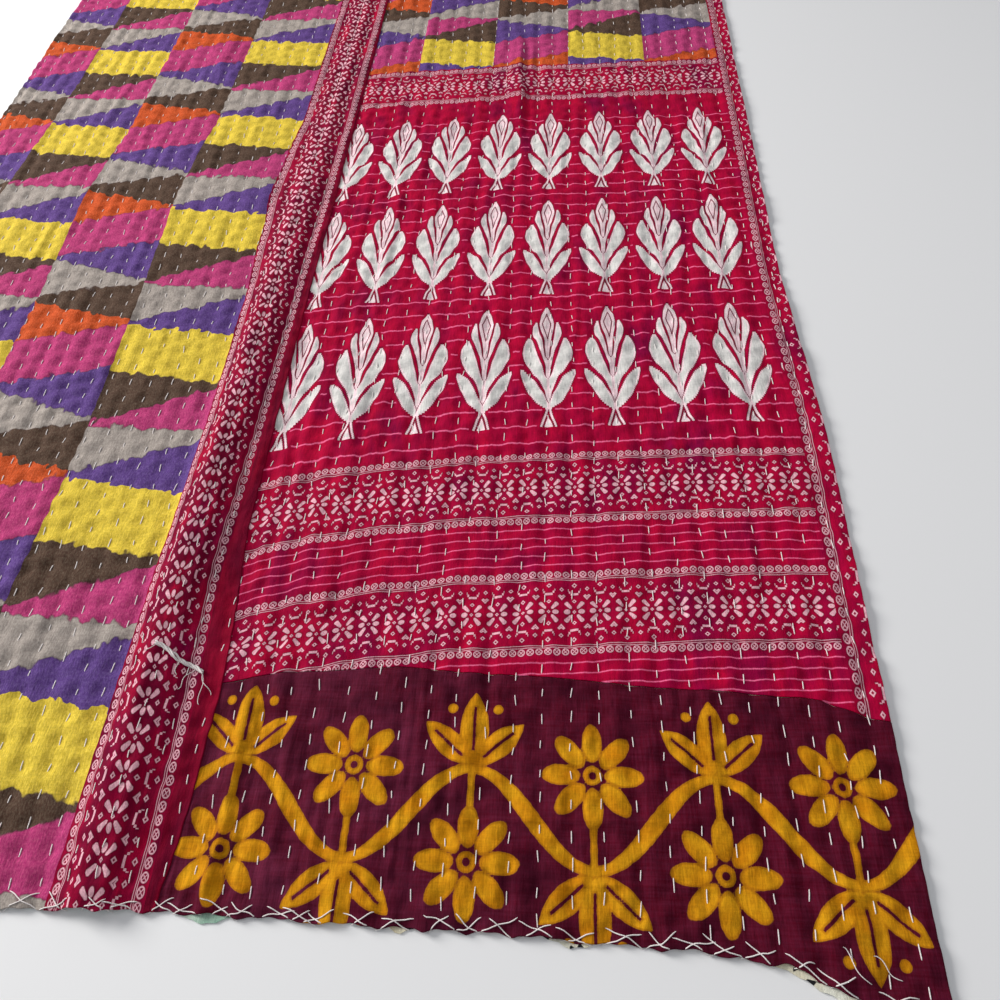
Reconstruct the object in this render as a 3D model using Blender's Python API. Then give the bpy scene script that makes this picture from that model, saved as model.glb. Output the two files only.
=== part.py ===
"""A kantha quilt lying flat: sari panels quilted by hand over plain back cloth.

Metres, +Z up. The quilt's length runs along Y with the foot at -Y, its width along X, and the
surface it lies on is Z = 0. Every piece of cloth is one thin closed sheet. All the sheets follow
one shared lie of the quilt, which is a soft ridge under the left panel's border and a few low
swells, so that the layers stay the same small gap apart.
"""
import bmesh
import bpy
import math

# Driving dimensions
WIDTH = 1.52
LENGTH = 2.29
BACK_THICKNESS = 0.0012
TOP_THICKNESS = 0.0012
LAYER_GAP = 0.0003
BACK_INSET = 0.003         # the back cloth stops this far short of the top cloth
BACK_SHOW = 0.005          # and peeks out this far at the foot
SEAM_GAP = 0.0004          # between two pieces that meet edge to edge
LAP = 0.018                # the left panel's strip covers this much of its neighbours
LAP_RISE_START = 0.016     # it starts to rise this far before the covered edge
LAP_RISE_END = 0.002
BACK_SEAM_X = 0.24
ROWS = 28                  # shared rows of points along the length
EDGE_CLEAR = 0.012         # no shared column or row lies this close to a sheet's edge

# Right edge, from foot to head: how far it stands in from the full width
RIGHT_EDGE = [
    # y, inset
    (-1.145, 0.008),
    (-0.820, 0.004),
    (-0.520, 0.000),
    (-0.140, 0.012),
    (0.240, 0.007),
    (0.700, 0.003),
    (1.145, 0.006),
]

# Left edge, the same way
LEFT_EDGE = [
    # y, inset
    (-1.145, 0.010),
    (-0.700, 0.003),
    (-0.250, 0.000),
    (0.350, 0.009),
    (0.800, 0.002),
    (1.145, 0.007),
]

# Foot edge, from left to right: height above the lowest corner
FOOT_EDGE = [
    # x, rise
    (-0.760, 0.036),
    (-0.450, 0.046),
    (0.020, 0.061),
    (0.310, 0.057),
    (0.520, 0.051),
    (0.610, 0.043),
    (0.680, 0.018),
    (0.760, 0.000),
]

# Head edge, from left to right: drop below the highest point
HEAD_EDGE = [
    # x, drop
    (-0.760, 0.006),
    (-0.350, 0.000),
    (0.150, 0.009),
    (0.500, 0.003),
    (0.760, 0.010),
]

# Seam between the right panel and the end panel
END_SEAM = [
    # x, y
    (0.000, -0.853),
    (0.110, -0.836),
    (0.225, -0.828),
    (0.340, -0.834),
    (0.560, -0.846),
    (0.665, -0.852),
    (0.760, -0.876),
]

# The ridge under the border, from foot to head: where its crest lies and how high it stands
CREST = [
    # y, x, height
    (-1.145, -0.058, 0.013),
    (-0.950, -0.064, 0.019),
    (-0.700, -0.066, 0.021),
    (-0.350, -0.062, 0.019),
    (-0.050, -0.058, 0.011),
    (0.300, -0.054, 0.006),
    (0.750, -0.050, 0.004),
    (1.145, -0.050, 0.003),
]
CREST_LEFT_SIDE = 0.042
CREST_RIGHT_SIDE = 0.068

# Low swells where the quilt doesn't lie quite flat
SWELLS = [
    # x, y, half width, half length, height
    (0.320, 0.370, 0.040, 0.260, 0.0050),
    (0.110, -0.560, 0.050, 0.300, 0.0035),
    (0.600, -0.330, 0.070, 0.240, 0.0030),
    (0.330, -1.010, 0.120, 0.060, 0.0025),
    (-0.330, 0.550, 0.050, 0.340, 0.0035),
    (-0.560, -0.500, 0.060, 0.280, 0.0030),
    (0.670, -1.080, 0.060, 0.060, 0.0040),
    (-0.470, 0.980, 0.110, 0.110, 0.0030),
]

# Colours: red, green, blue, roughness
CLOTHS = {
    "left_panel": (0.50, 0.02, 0.10, 0.90),
    "right_panel": (0.43, 0.00, 0.06, 0.90),
    "end_panel": (0.09, 0.01, 0.03, 0.92),
    "back_left": (0.42, 0.62, 0.52, 0.92),
    "back_right": (0.78, 0.72, 0.58, 0.92),
}


def clear_scene():
    for item in list(bpy.data.objects):
        bpy.data.objects.remove(item, do_unlink=True)


def read_row(table, at, column=1):
    """The value at a place along a table, passing smoothly from row to row."""
    if at <= table[0][0]:
        return table[0][column]
    for low, high in zip(table, table[1:]):
        if at <= high[0]:
            part = (at - low[0]) / (high[0] - low[0])
            part = part * part * (3.0 - 2.0 * part)
            return low[column] + (high[column] - low[column]) * part
    return table[-1][column]


def hump(distance, reach):
    """A rounded hump: 1 at its middle, 0 from its reach outwards."""
    if abs(distance) >= reach:
        return 0.0
    return 0.5 + 0.5 * math.cos(math.pi * distance / reach)


def lift(x, y):
    """How far the quilt stands up from the surface that it lies on."""
    across = x - read_row(CREST, y, 1)
    side = CREST_LEFT_SIDE if across < 0.0 else CREST_RIGHT_SIDE
    height = read_row(CREST, y, 2) * hump(across, side)
    for swell_x, swell_y, half_width, half_length, swell_height in SWELLS:
        height += swell_height * hump(x - swell_x, half_width) * hump(y - swell_y, half_length)
    return height


def right_edge(y):
    return WIDTH / 2 - read_row(RIGHT_EDGE, y)


def left_edge(y):
    return -WIDTH / 2 + read_row(LEFT_EDGE, y)


def foot_edge(x):
    return -LENGTH / 2 + read_row(FOOT_EDGE, x)


def head_edge(x):
    return LENGTH / 2 - read_row(HEAD_EDGE, x)


def end_seam(x):
    return read_row(END_SEAM, x)


def steps(start, end, count):
    """Evenly spaced values from start up to but not including end."""
    return [start + (end - start) * i / count for i in range(count)]


def shared_columns():
    """The x positions at which every sheet is shaped, close together across the ridge."""
    columns = steps(-WIDTH / 2, -0.125, 6) + steps(-0.125, -LAP_RISE_START, 9)
    columns += [-LAP_RISE_START, -LAP_RISE_END, 0.0, LAP, 0.040]
    return columns + steps(0.080, WIDTH / 2, 15) + [WIDTH / 2]


def shared_rows():
    """The y positions at which every sheet is shaped."""
    return steps(-LENGTH / 2, LENGTH / 2, ROWS) + [LENGTH / 2]


def between(values, low, high):
    """The shared positions that lie well inside a sheet."""
    return [value for value in values if low + EDGE_CLEAR < value < high - EDGE_CLEAR]


def top_base(x, y):
    """Underside of the top cloth, where it lies straight on the back cloth."""
    return lift(x, y) + BACK_THICKNESS + LAYER_GAP


def lapped_base(x, y):
    """Underside of the left panel, which climbs onto the pieces that it covers."""
    climb = (x + LAP_RISE_START) / (LAP_RISE_START - LAP_RISE_END)
    climb = min(max(climb, 0.0), 1.0)
    return top_base(x, y) + climb * (TOP_THICKNESS + LAYER_GAP)


def cloth_sheet(name, foot, head, left, right, base, thickness):
    """One closed sheet of cloth between four edges, shaped on the shared columns and rows.

    foot and head give y for an x, left and right give x for a y, and base gives the height of
    the sheet's underside. All sheets split their cells along the same diagonal.
    """
    rows = shared_rows()
    widest = [left(y) for y in rows], [right(y) for y in rows]
    columns = [None] + between(shared_columns(), max(widest[0]), min(widest[1])) + [None]
    inner = [x for x in columns if x is not None]
    furthest = [foot(x) for x in inner], [head(x) for x in inner]
    inner_rows = between(rows, max(furthest[0]), min(furthest[1]))
    mesh = bpy.data.meshes.new(name)
    bm = bmesh.new()
    under, over = [], []
    for number, column in enumerate(columns):
        edge = left if number == 0 else right
        foot_x, head_x = column, column
        if column is None:
            foot_x, head_x = edge(rows[0]), edge(rows[-1])
        line_y = [foot(foot_x)] + inner_rows + [head(head_x)]
        line = [(edge(y) if column is None else column, y) for y in line_y]
        under.append([bm.verts.new((x, y, base(x, y))) for x, y in line])
        over.append([bm.verts.new((x, y, base(x, y) + thickness)) for x, y in line])
    last_column, last_row = len(columns) - 1, len(inner_rows) + 1
    for c in range(last_column):
        for r in range(last_row):
            close_cell(bm, over[c][r], over[c + 1][r], over[c + 1][r + 1], over[c][r + 1])
            close_cell(bm, under[c][r], under[c][r + 1], under[c + 1][r + 1], under[c + 1][r])
    for c in range(last_column):
        close_cell(bm, under[c][0], under[c + 1][0], over[c + 1][0], over[c][0])
        close_cell(bm, under[c + 1][-1], under[c][-1], over[c][-1], over[c + 1][-1])
    for r in range(last_row):
        close_cell(bm, under[0][r + 1], under[0][r], over[0][r], over[0][r + 1])
        close_cell(bm, under[-1][r], under[-1][r + 1], over[-1][r + 1], over[-1][r])
    bm.to_mesh(mesh)
    bm.free()
    sheet = bpy.data.objects.new(name, mesh)
    bpy.context.collection.objects.link(sheet)
    mesh.materials.append(cloth_material(name))
    return sheet


def close_cell(bm, first, second, third, fourth):
    """Two triangles that share the edge from the first corner to the third."""
    bm.faces.new((first, second, third))
    bm.faces.new((first, third, fourth))


def cloth_material(name):
    red, green, blue, roughness = CLOTHS[name]
    material = bpy.data.materials.new(name)
    material.use_nodes = True
    shader = material.node_tree.nodes["Principled BSDF"]
    shader.inputs["Base Color"].default_value = (red, green, blue, 1.0)
    shader.inputs["Roughness"].default_value = roughness
    shader.inputs["Metallic"].default_value = 0.0
    return material


def back_foot(x):
    """The back cloth's foot: just short of the top cloth, but peeking out in three places."""
    shows = hump(x - 0.060, 0.060) + hump(x - 0.420, 0.050) + hump(x - 0.660, 0.070)
    return foot_edge(x) + BACK_INSET - (BACK_INSET + BACK_SHOW) * shows


def back_head(x):
    return head_edge(x) - BACK_INSET


def make_back():
    """Two lengths of back cloth that meet edge to edge."""
    def left(y):
        return left_edge(y) + BACK_INSET

    def right(y):
        return right_edge(y) - BACK_INSET

    def seam_from_left(_):
        return BACK_SEAM_X - SEAM_GAP

    def seam_from_right(_):
        return BACK_SEAM_X

    cloth_sheet("back_left", back_foot, back_head, left, seam_from_left, lift, BACK_THICKNESS)
    cloth_sheet("back_right", back_foot, back_head, seam_from_right, right, lift,
                BACK_THICKNESS)


def make_left_panel():
    """The left sari length, whose plain strip laps over the pieces beside it."""
    def lap_edge(_):
        return LAP

    cloth_sheet("left_panel", foot_edge, head_edge, left_edge, lap_edge, lapped_base,
                TOP_THICKNESS)


def covered_edge(_):
    """The edge of the right panel and the end panel, which lies under the left panel."""
    return 0.0


def make_right_panel():
    """The right sari length, from the seam above the end panel up to the head."""
    cloth_sheet("right_panel", end_seam, head_edge, covered_edge, right_edge, top_base,
                TOP_THICKNESS)


def make_end_panel():
    """The vine-print piece across the foot."""
    def seam_below(x):
        return end_seam(x) - SEAM_GAP

    cloth_sheet("end_panel", foot_edge, seam_below, covered_edge, right_edge, top_base,
                TOP_THICKNESS)


def main():
    clear_scene()
    make_back()
    make_left_panel()
    make_right_panel()
    make_end_panel()


main()
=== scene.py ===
import math

import bpy
import numpy as np
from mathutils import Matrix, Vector


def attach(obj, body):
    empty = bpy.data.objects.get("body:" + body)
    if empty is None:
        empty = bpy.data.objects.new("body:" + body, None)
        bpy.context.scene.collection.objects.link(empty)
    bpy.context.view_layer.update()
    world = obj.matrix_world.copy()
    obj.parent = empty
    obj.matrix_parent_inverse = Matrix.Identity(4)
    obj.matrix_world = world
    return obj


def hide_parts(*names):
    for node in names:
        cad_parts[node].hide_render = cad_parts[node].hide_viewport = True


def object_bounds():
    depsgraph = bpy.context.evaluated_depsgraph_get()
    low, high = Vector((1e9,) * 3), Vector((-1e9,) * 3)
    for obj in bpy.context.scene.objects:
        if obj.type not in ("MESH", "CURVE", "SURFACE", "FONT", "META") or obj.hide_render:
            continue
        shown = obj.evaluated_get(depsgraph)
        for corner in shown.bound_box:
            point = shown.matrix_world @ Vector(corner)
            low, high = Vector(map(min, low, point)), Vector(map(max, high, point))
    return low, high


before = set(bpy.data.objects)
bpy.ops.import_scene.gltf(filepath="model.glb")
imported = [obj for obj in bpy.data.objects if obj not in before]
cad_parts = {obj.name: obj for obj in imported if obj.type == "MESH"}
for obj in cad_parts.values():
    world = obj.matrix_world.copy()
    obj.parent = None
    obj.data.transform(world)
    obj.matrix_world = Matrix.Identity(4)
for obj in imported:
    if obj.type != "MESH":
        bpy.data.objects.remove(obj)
packed_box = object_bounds()

# ---------------------------------------------------------------------------------------------
# The place where the quilt is shown: a pale floor that it lies on, soft daylight that comes
# low from the left and the head, and a view from just above its foot, looking along it.
# ---------------------------------------------------------------------------------------------
LOW, HIGH = (Vector(corner) for corner in packed_box)
HALF_WIDTH = (HIGH.x - LOW.x) / 2
FOOT_Y, HEAD_Y = LOW.y, HIGH.y

VIEW_LENS = 27.04
VIEW_SENSOR = 36.0
VIEW_PLACE = (0.402, -1.125, 0.820)
VIEW_TURN = (32.85, 3.43, 2.60)

view_data = bpy.data.cameras.new("view")
view_data.sensor_width = VIEW_SENSOR
view_data.lens = VIEW_LENS
view = bpy.data.objects.new("view", view_data)
view.location = VIEW_PLACE
view.rotation_euler = [math.radians(angle) for angle in VIEW_TURN]
bpy.context.collection.objects.link(view)
bpy.context.scene.camera = view

FLOOR_SIZE = 9.0
FLOOR_DROP = 0.0004
FLOOR_COLOUR = (0.86, 0.86, 0.865, 1.0)

floor_mesh = bpy.data.meshes.new("floor")
half_floor = FLOOR_SIZE / 2
floor_mesh.from_pydata(
    [(-half_floor, -half_floor, -FLOOR_DROP), (half_floor, -half_floor, -FLOOR_DROP),
     (half_floor, half_floor, -FLOOR_DROP), (-half_floor, half_floor, -FLOOR_DROP)],
    [], [(0, 1, 2, 3)])
floor = bpy.data.objects.new("floor", floor_mesh)
bpy.context.collection.objects.link(floor)
floor_paint = bpy.data.materials.new("floor_paint")
floor_paint.use_nodes = True
floor_shader = floor_paint.node_tree.nodes["Principled BSDF"]
floor_shader.inputs["Base Color"].default_value = FLOOR_COLOUR
floor_shader.inputs["Roughness"].default_value = 0.75
floor_mesh.materials.append(floor_paint)

LAMPS = [
    # name, place, size, watts, colour
    ("window_light", (-4.3, 1.0, 2.05), 1.9, 345.0, (1.0, 0.985, 0.96)),
    ("ceiling_light", (0.5, -0.5, 3.2), 3.0, 18.0, (0.97, 0.985, 1.0)),
]


def hang_lamp(name, place, size, watts, colour):
    lamp_data = bpy.data.lights.new(name, "AREA")
    lamp_data.shape = "SQUARE"
    lamp_data.size = size
    lamp_data.energy = watts
    lamp_data.color = colour
    lamp = bpy.data.objects.new(name, lamp_data)
    lamp.location = place
    aim = Vector((0.0, -0.3, 0.0)) - Vector(place)
    lamp.rotation_euler = aim.to_track_quat("-Z", "Y").to_euler()
    bpy.context.collection.objects.link(lamp)


for lamp_row in LAMPS:
    hang_lamp(*lamp_row)

sky = bpy.data.worlds.new("room")
sky.use_nodes = True
sky.node_tree.nodes["Background"].inputs["Color"].default_value = (0.93, 0.95, 1.0, 1.0)
sky.node_tree.nodes["Background"].inputs["Strength"].default_value = 0.31
bpy.context.scene.world = sky
bpy.context.scene.view_settings.view_transform = "Standard"

# ---------------------------------------------------------------------------------------------
# Back cloth: two worn plain cottons, mint green and cream with black, joined lengthwise. They
# carry the whole quilt, take its shape over the ridge and the low swells, and peek out in
# places where the foot edge was turned in less.
# ---------------------------------------------------------------------------------------------
BACK_THICKNESS = 0.0012
BACK_INSET = 0.003
BACK_SEAM_X = 0.24
SEAM_GAP = 0.0004

RIGHT_EDGE = [
    # y, inset from the full width
    (-1.145, 0.008),
    (-0.820, 0.004),
    (-0.520, 0.000),
    (-0.140, 0.012),
    (0.240, 0.007),
    (0.700, 0.003),
    (1.145, 0.006),
]
LEFT_EDGE = [
    # y, inset from the full width
    (-1.145, 0.010),
    (-0.700, 0.003),
    (-0.250, 0.000),
    (0.350, 0.009),
    (0.800, 0.002),
    (1.145, 0.007),
]
FOOT_EDGE = [
    # x, rise above the lowest corner
    (-0.760, 0.036),
    (-0.450, 0.046),
    (0.020, 0.061),
    (0.310, 0.057),
    (0.520, 0.051),
    (0.610, 0.043),
    (0.680, 0.018),
    (0.760, 0.000),
]
HEAD_EDGE = [
    # x, drop below the highest point
    (-0.760, 0.006),
    (-0.350, 0.000),
    (0.150, 0.009),
    (0.500, 0.003),
    (0.760, 0.010),
]
CREST = [
    # y, x, height of the ridge under the border
    (-1.145, -0.058, 0.013),
    (-0.950, -0.064, 0.019),
    (-0.700, -0.066, 0.021),
    (-0.350, -0.062, 0.019),
    (-0.050, -0.058, 0.011),
    (0.300, -0.054, 0.006),
    (0.750, -0.050, 0.004),
    (1.145, -0.050, 0.003),
]
CREST_LEFT_SIDE = 0.042
CREST_RIGHT_SIDE = 0.068
SWELLS = [
    # x, y, half width, half length, height
    (0.320, 0.370, 0.040, 0.260, 0.0050),
    (0.110, -0.560, 0.050, 0.300, 0.0035),
    (0.600, -0.330, 0.070, 0.240, 0.0030),
    (0.330, -1.010, 0.120, 0.060, 0.0025),
    (-0.330, 0.550, 0.050, 0.340, 0.0035),
    (-0.560, -0.500, 0.060, 0.280, 0.0030),
    (0.670, -1.080, 0.060, 0.060, 0.0040),
    (-0.470, 0.980, 0.110, 0.110, 0.0030),
]


def along(table, at, column=1):
    """Values along a table, passing smoothly from row to row."""
    rows = np.array(table, float)
    at = np.clip(at, rows[0, 0], rows[-1, 0])
    low = np.clip(np.searchsorted(rows[:, 0], at, side="right") - 1, 0, len(rows) - 2)
    part = (at - rows[low, 0]) / (rows[low + 1, 0] - rows[low, 0])
    part = part * part * (3.0 - 2.0 * part)
    return rows[low, column] + (rows[low + 1, column] - rows[low, column]) * part


def hump(distance, reach):
    """A rounded hump: 1 at its middle, 0 from its reach outwards."""
    part = np.clip(np.abs(distance) / reach, 0.0, 1.0)
    return 0.5 + 0.5 * np.cos(np.pi * part)


def lie(x, y):
    """How far the quilt stands up from the floor at each place."""
    across = x - along(CREST, y, 1)
    side = np.where(across < 0.0, CREST_LEFT_SIDE, CREST_RIGHT_SIDE)
    height = along(CREST, y, 2) * hump(across, side)
    for swell_x, swell_y, half_width, half_length, swell_height in SWELLS:
        height = height + swell_height * hump(x - swell_x, half_width) * hump(
            y - swell_y, half_length)
    return height


def right_edge(y):
    return HALF_WIDTH - along(RIGHT_EDGE, y)


def left_edge(y):
    return -HALF_WIDTH + along(LEFT_EDGE, y)


def foot_edge(x):
    return FOOT_Y + along(FOOT_EDGE, x)


def head_edge(x):
    return HEAD_Y - along(HEAD_EDGE, x)


def spread(*stretches):
    """Positions along a line of stretches, each (start, end, count), without repeats."""
    parts = [np.linspace(start, end, count, endpoint=False) for start, end, count in stretches]
    return np.concatenate(parts + [[stretches[-1][1]]])


class Reading:
    """A number that a cloth's material works out at each point of the cloth."""

    def __init__(self, tree, socket):
        self.tree = tree
        self.socket = socket

    def work(self, operation, *others, clamp=False):
        node = self.tree.nodes.new("ShaderNodeMath")
        node.operation = operation
        node.use_clamp = clamp
        for slot, value in zip(node.inputs, (self,) + others):
            connect(self.tree, slot, value)
        return Reading(self.tree, node.outputs[0])

    def __add__(self, other):
        return self.work("ADD", other)

    def __sub__(self, other):
        return self.work("SUBTRACT", other)

    def __mul__(self, other):
        return self.work("MULTIPLY", other)

    def __truediv__(self, other):
        return self.work("DIVIDE", other)

    def __abs__(self):
        return self.work("ABSOLUTE")

    def scaled(self, factor, offset):
        return self.work("MULTIPLY_ADD", factor, offset)

    def lesser(self, other):
        return self.work("MINIMUM", other)

    def greater(self, other):
        return self.work("MAXIMUM", other)

    def folded(self, pitch):
        """Distance along from the nearest of a row of places a pitch apart."""
        return self.work("PINGPONG", pitch / 2)

    def repeated(self, pitch):
        """Signed distance along from the nearest of a row of places a pitch apart."""
        return self.work("WRAP", pitch / 2, -pitch / 2)

    def stepped(self, step):
        return self.work("SNAP", step)

    def above(self, level, soft):
        """1 where the reading is above a level, 0 below, with a soft change between."""
        if isinstance(level, Reading):
            return (self - level).scaled(1.0 / soft, 0.5).work("ADD", 0.0, clamp=True)
        node_offset = 0.5 - level / soft
        return self.work("MULTIPLY_ADD", 1.0 / soft, node_offset, clamp=True)

    def below(self, level, soft):
        if isinstance(level, Reading):
            return (level - self).scaled(1.0 / soft, 0.5).work("ADD", 0.0, clamp=True)
        return self.work("MULTIPLY_ADD", -1.0 / soft, 0.5 + level / soft, clamp=True)


def connect(tree, slot, value):
    """Puts a reading, another node's output or a plain value into a node's slot."""
    if isinstance(value, Reading):
        tree.links.new(value.socket, slot)
    elif isinstance(value, bpy.types.NodeSocket):
        tree.links.new(value, slot)
    else:
        slot.default_value = value


def point(tree, x, y, z=0.0):
    """A place made of its three readings or numbers."""
    node = tree.nodes.new("ShaderNodeCombineXYZ")
    for slot, value in zip(node.inputs, (x, y, z)):
        connect(tree, slot, value)
    return node.outputs[0]


def reach(tree, x, y):
    """Straight distance of a place from the middle."""
    node = tree.nodes.new("ShaderNodeVectorMath")
    node.operation = "LENGTH"
    tree.links.new(point(tree, x, y), node.inputs[0])
    return Reading(tree, node.outputs["Value"])


def grain(tree, place, scale, detail=2.0, roughness=0.55):
    """Uneven mottling from 0 to 1 that is about 1/scale metres across."""
    node = tree.nodes.new("ShaderNodeTexNoise")
    node.inputs["Scale"].default_value = scale
    node.inputs["Detail"].default_value = detail
    node.inputs["Roughness"].default_value = roughness
    tree.links.new(place, node.inputs["Vector"])
    return Reading(tree, node.outputs["Fac"])


def dyed(tree, ground, colour, cover):
    """Ground cloth colour with another colour over it where cover is 1."""
    node = tree.nodes.new("ShaderNodeMix")
    node.data_type = "RGBA"
    node.clamp_factor = True
    connect(tree, node.inputs["Factor"], cover)
    colour_slots = [slot for slot in node.inputs if slot.type == "RGBA"]
    connect(tree, colour_slots[0], ground)
    connect(tree, colour_slots[1], colour)
    return [slot for slot in node.outputs if slot.type == "RGBA"][0]


def srgb(red, green, blue):
    """A colour given on the usual 0 to 255 scale, as the light values that shaders use."""
    def linear(value):
        value /= 255.0
        if value <= 0.04045:
            return value / 12.92
        return ((value + 0.055) / 1.055) ** 2.4

    return (linear(red), linear(green), linear(blue), 1.0)


WEAVE_PITCH = 0.00062
SLUB_LONG = 55.0
SLUB_SHORT = 620.0
COTTON_ROUGHNESS = 0.88


def start_cloth(name):
    """A cotton material: its node tree, shader, place on the cloth and place in the print."""
    material = bpy.data.materials.new(name)
    material.use_nodes = True
    tree = material.node_tree
    cloth_map = tree.nodes.new("ShaderNodeUVMap")
    cloth_map.uv_map = "cloth"
    print_map = tree.nodes.new("ShaderNodeUVMap")
    print_map.uv_map = "print"
    return material, tree, cloth_map.outputs[0], print_map.outputs[0]


def split(tree, place):
    """The readings across the cloth and along it."""
    node = tree.nodes.new("ShaderNodeSeparateXYZ")
    tree.links.new(place, node.inputs[0])
    return Reading(tree, node.outputs[0]), Reading(tree, node.outputs[1])


def stretched(tree, place, across, lengthwise):
    """The same place with each direction scaled, for streaks that follow a thread."""
    node = tree.nodes.new("ShaderNodeVectorMath")
    node.operation = "MULTIPLY"
    tree.links.new(place, node.inputs[0])
    node.inputs[1].default_value = (across, lengthwise, 1.0)
    return node.outputs[0]


def finish_cloth(material, cloth, colour, depth=1.0):
    """Adds what all the worn cottons share: thread streaks, weave, crumple and a dull face."""
    tree = material.node_tree
    shader = tree.nodes["Principled BSDF"]
    weft = grain(tree, stretched(tree, cloth, SLUB_LONG, SLUB_SHORT), 1.0, 1.0)
    warp = grain(tree, stretched(tree, cloth, SLUB_SHORT, SLUB_LONG), 1.0, 1.0)
    mottle = grain(tree, cloth, 190.0, 3.0, 0.7)
    wear = grain(tree, cloth, 9.0, 3.0)
    shade = weft * (0.34 * depth) + warp * (0.70 * depth) + mottle * (0.50 * depth) + wear * 0.36
    shade = shade + (1.0 - 0.77 * depth - 0.18)
    toned = tree.nodes.new("ShaderNodeHueSaturation")
    connect(tree, toned.inputs["Color"], colour)
    connect(tree, toned.inputs["Value"], shade)
    tree.links.new(toned.outputs[0], shader.inputs["Base Color"])
    across, lengthwise = split(tree, cloth)
    over = (across * (2.0 * math.pi / WEAVE_PITCH)).work("SINE")
    under = (lengthwise * (2.0 * math.pi / WEAVE_PITCH)).work("SINE")
    crumple = grain(tree, stretched(tree, cloth, 210.0, 70.0), 1.0, 3.0, 0.6)
    relief = over * under * 0.06 + (weft + warp) * 0.20 + mottle * 0.16 + crumple * 1.3
    bump = tree.nodes.new("ShaderNodeBump")
    bump.inputs["Strength"].default_value = 0.8
    bump.inputs["Distance"].default_value = 0.0009
    connect(tree, bump.inputs["Height"], relief)
    tree.links.new(bump.outputs[0], shader.inputs["Normal"])
    dull = mottle.scaled(0.12, COTTON_ROUGHNESS - 0.06)
    connect(tree, shader.inputs["Roughness"], dull)
    shader.inputs["Specular IOR Level"].default_value = 0.08
    return material


def sheet_object(name, points, quads, materials, faces_material, cloth_uv, print_uv, normals):
    """A cloth mesh from a grid of points, with its place on the cloth and in the print."""
    mesh = bpy.data.meshes.new(name)
    mesh.vertices.add(len(points))
    mesh.vertices.foreach_set("co", points.astype(np.float32).ravel())
    mesh.loops.add(quads.size)
    mesh.loops.foreach_set("vertex_index", quads.astype(np.int32).ravel())
    mesh.polygons.add(len(quads))
    mesh.polygons.foreach_set("loop_start", np.arange(0, quads.size, 4, dtype=np.int32))
    mesh.polygons.foreach_set("material_index", faces_material.astype(np.int32))
    for material in materials:
        mesh.materials.append(material)
    for map_name, values in (("cloth", cloth_uv), ("print", print_uv)):
        layer = mesh.uv_layers.new(name=map_name)
        layer.data.foreach_set("uv", values.astype(np.float32).ravel())
    mesh.update(calc_edges=True)
    mesh.validate()
    mesh.shade_smooth()
    if normals is not None:
        mesh.normals_split_custom_set_from_vertices(normals.reshape(-1, 3))
    piece = bpy.data.objects.new(name, mesh)
    bpy.context.collection.objects.link(piece)
    return piece


def grid_quads(row_count, column_count):
    """The four corners of each cell in a grid of points."""
    first = np.arange(row_count - 1)[:, None] * column_count + np.arange(column_count - 1)
    first = first.ravel()
    return np.stack([first, first + 1, first + column_count + 1, first + column_count], axis=1)


def back_foot(x):
    """The back cloth's foot: a little short of the top cloth, but out beyond it in places."""
    shows = 1.0 * hump(x - 0.062, 0.040) + 0.8 * hump(x - 0.420, 0.034)
    shows = shows + 0.6 * hump(x - 0.255, 0.020) + 1.0 * hump(x - 0.640, 0.062)
    frayed = 0.0007 * np.sin(x * 900.0) + 0.0006 * np.sin(x * 390.0)
    return foot_edge(x) + BACK_INSET + frayed - 0.0095 * shows


def closed_cloth(name, columns, rows, material):
    """A closed sheet of back cloth that lies on the floor and follows the quilt's lie."""
    x, part = np.meshgrid(columns, rows)
    foot, head = back_foot(x), head_edge(x) - BACK_INSET
    y = foot + (head - foot) * part
    x = np.clip(x, left_edge(y) + BACK_INSET, right_edge(y) - BACK_INSET)
    z = lie(x, y)
    under = np.stack([x, y, z], axis=-1)
    over = np.stack([x, y, z + BACK_THICKNESS], axis=-1)
    row_count, column_count = x.shape
    base = grid_quads(row_count, column_count)
    count = row_count * column_count
    ring = np.concatenate([
        np.arange(column_count),
        np.arange(1, row_count) * column_count + column_count - 1,
        (row_count - 1) * column_count + np.arange(column_count - 2, -1, -1),
        np.arange(row_count - 2, 0, -1) * column_count,
    ])
    after = np.roll(ring, -1)
    rim = np.stack([ring, after, after + count, ring + count], axis=1)
    quads = np.concatenate([base[:, ::-1], base + count, rim])
    points = np.concatenate([under.reshape(-1, 3), over.reshape(-1, 3)])
    place = points[quads.ravel()][:, :2]
    piece = sheet_object(name, points, quads, [material], np.zeros(len(quads)), place, place,
                         None)
    piece.data.set_sharp_from_angle(angle=math.radians(50.0))
    return piece


def plain_cotton(name, colour, mark=None):
    """Plain worn cotton, with scattered dark print marks where mark gives their colour."""
    material, tree, cloth, _ = start_cloth(name)
    faded = grain(tree, cloth, 14.0, 4.0).above(0.56, 0.3)
    ground = dyed(tree, colour, srgb(236, 238, 226), faded)
    if mark is not None:
        blots = grain(tree, cloth, 70.0, 1.0).above(0.58, 0.02)
        ground = dyed(tree, ground, mark, blots)
    return finish_cloth(material, cloth, ground, 0.8)


back_rows = spread((0.0, 0.02, 3), (0.02, 1.0, 84))
back_left_columns = spread((-HALF_WIDTH, -0.125, 50), (-0.125, 0.035, 32),
                           (0.035, BACK_SEAM_X - SEAM_GAP, 42))
back_left = closed_cloth("back_cloth_left", back_left_columns, back_rows,
                         plain_cotton("mint_cotton", srgb(148, 186, 166)))
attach(back_left, "root")
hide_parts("back_left")

back_right_columns = spread((BACK_SEAM_X, HALF_WIDTH, 100))
back_right = closed_cloth("back_cloth_right", back_right_columns, back_rows,
                          plain_cotton("cream_cotton", srgb(214, 200, 164), srgb(34, 34, 36)))
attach(back_right, "root")
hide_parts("back_right")

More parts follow.
